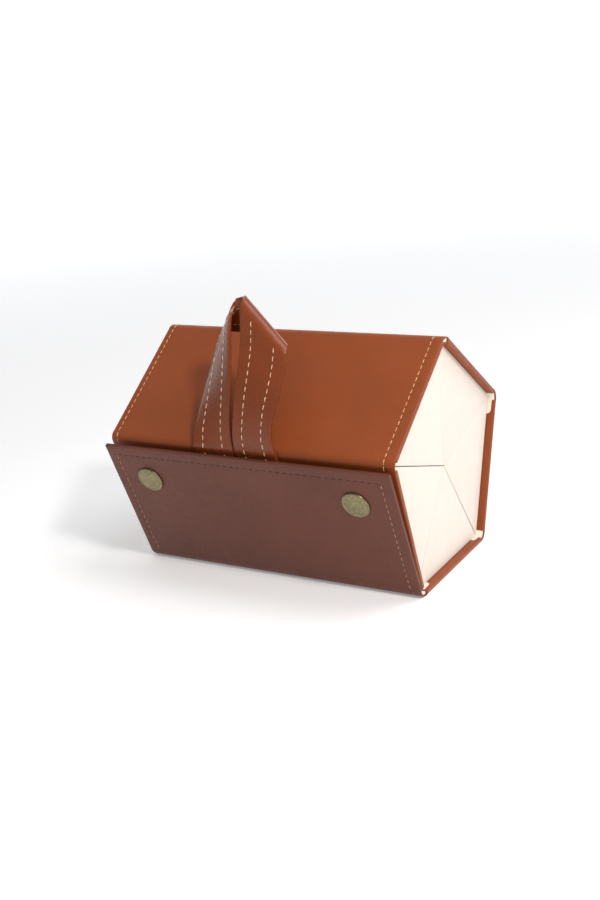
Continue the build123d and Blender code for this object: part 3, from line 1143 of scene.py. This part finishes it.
right_end = len(root_depths) + len(right_leg)
left_start = right_end + len(roll)
print("strap stitches:", strap_stitches("stitches_strap_right", strap_line[:right_end]),
      strap_stitches("stitches_strap_left", strap_line[left_start:]),
      [strap_stitches(f"stitches_tab_{name}", line) for name, line in tab_lines.items()])

# %% [markdown]
# ## Floor and light
#
# A pale sheet runs under the case and curves up behind it. A key lamp at the upper right lights the
# roof and the end wall and throws the strap's shadow, a wide lamp overhead catches the edges, and an
# even sky fills in the rest.

# %% Stage
PAPER_GLOW = (0.20, 0.72)       # emission near the case and far from it
GLOW_FROM_TO = (0.35, 2.2)      # the distances that it grows between
SKY_STRENGTH = 0.36
PAPER_FRONT = 6.0
PAPER_BACK = 3.0
PAPER_BEND = 1.2
PAPER_TOP = 2.6
PAPER_WIDTH = 16.0
BEND_STEPS = 12


def glow(material, shader, place):
    """The paper glows more with distance, so that it stays white where the lamps don't reach."""
    distance = material.node_tree.nodes.new("ShaderNodeVectorMath")
    distance.operation = "LENGTH"
    material.node_tree.links.new(place, distance.inputs[0])
    strength = spread(material, distance.outputs["Value"], *PAPER_GLOW, *GLOW_FROM_TO)
    material.node_tree.links.new(strength, shader.inputs["Emission Strength"])


def make_backdrop():
    """Floor, a round bend and a low wall, in line with the camera."""
    rows = [(-PAPER_FRONT, 0.0), (PAPER_BACK, 0.0)]
    for step in range(1, BEND_STEPS + 1):
        angle = pi / 2 * step / BEND_STEPS
        rows.append((PAPER_BACK + PAPER_BEND * sin(angle), PAPER_BEND * (1 - cos(angle))))
    rows.append((PAPER_BACK + PAPER_BEND, PAPER_TOP))
    deselect()
    bpy.ops.mesh.primitive_grid_add(x_subdivisions=1, y_subdivisions=len(rows) - 1)
    floor = bpy.context.object
    floor.name = "backdrop"
    turn = Matrix.Rotation(-atan2(-CAMERA_PLACE.x, -CAMERA_PLACE.y), 4, "Z")
    for number, vertex in enumerate(floor.data.vertices):
        row, column = divmod(number, 2)
        y, z = rows[row]
        vertex.co = turn @ Vector(((column - 0.5) * PAPER_WIDTH, y, z))
    bpy.ops.object.shade_smooth()
    material, shader, place = new_material("pale_paper")
    tone = ramp(material, noise(material, place, 3), [(0.3, (0.94, 0.94, 0.94)), (0.7, (0.96, 0.96, 0.96))])
    material.node_tree.links.new(tone, shader.inputs["Base Color"])
    shader.inputs["Roughness"].default_value = 0.9
    shader.inputs["Specular IOR Level"].default_value = 0.1
    shader.inputs["Emission Color"].default_value = (1, 1, 1, 1)
    glow(material, shader, place)
    floor.data.materials.append(material)


# Name, place, size, power and colour of each lamp
LAMPS = [
    ("key", (0.50, -0.30, 0.62), 0.10, 3.3, (1.0, 0.97, 0.93)),
    ("rim", (0.42, 0.14, 1.00), 0.60, 4.6, (1.0, 0.98, 1.0)),
]


def make_lights():
    world = bpy.context.scene.world or bpy.data.worlds.new("sky")
    bpy.context.scene.world = world
    world.use_nodes = True
    sky = world.node_tree.nodes["Background"]
    sky.inputs["Color"].default_value = (0.95, 0.97, 1.0, 1)
    sky.inputs["Strength"].default_value = SKY_STRENGTH
    for name, place, size, power, tint in LAMPS:
        lamp = bpy.data.objects.new(name, bpy.data.lights.new(name, "AREA"))
        lamp.data.size = size
        lamp.data.energy = power
        lamp.data.color = tint
        lamp.location = place
        lamp.rotation_euler = (Vector(place) - axis).to_track_quat("Z", "Y").to_euler()
        bpy.context.scene.collection.objects.link(lamp)
    bpy.context.scene.view_settings.view_transform = "Standard"


make_backdrop()
make_lights()
print("lamps:", [lamp[0] for lamp in LAMPS])
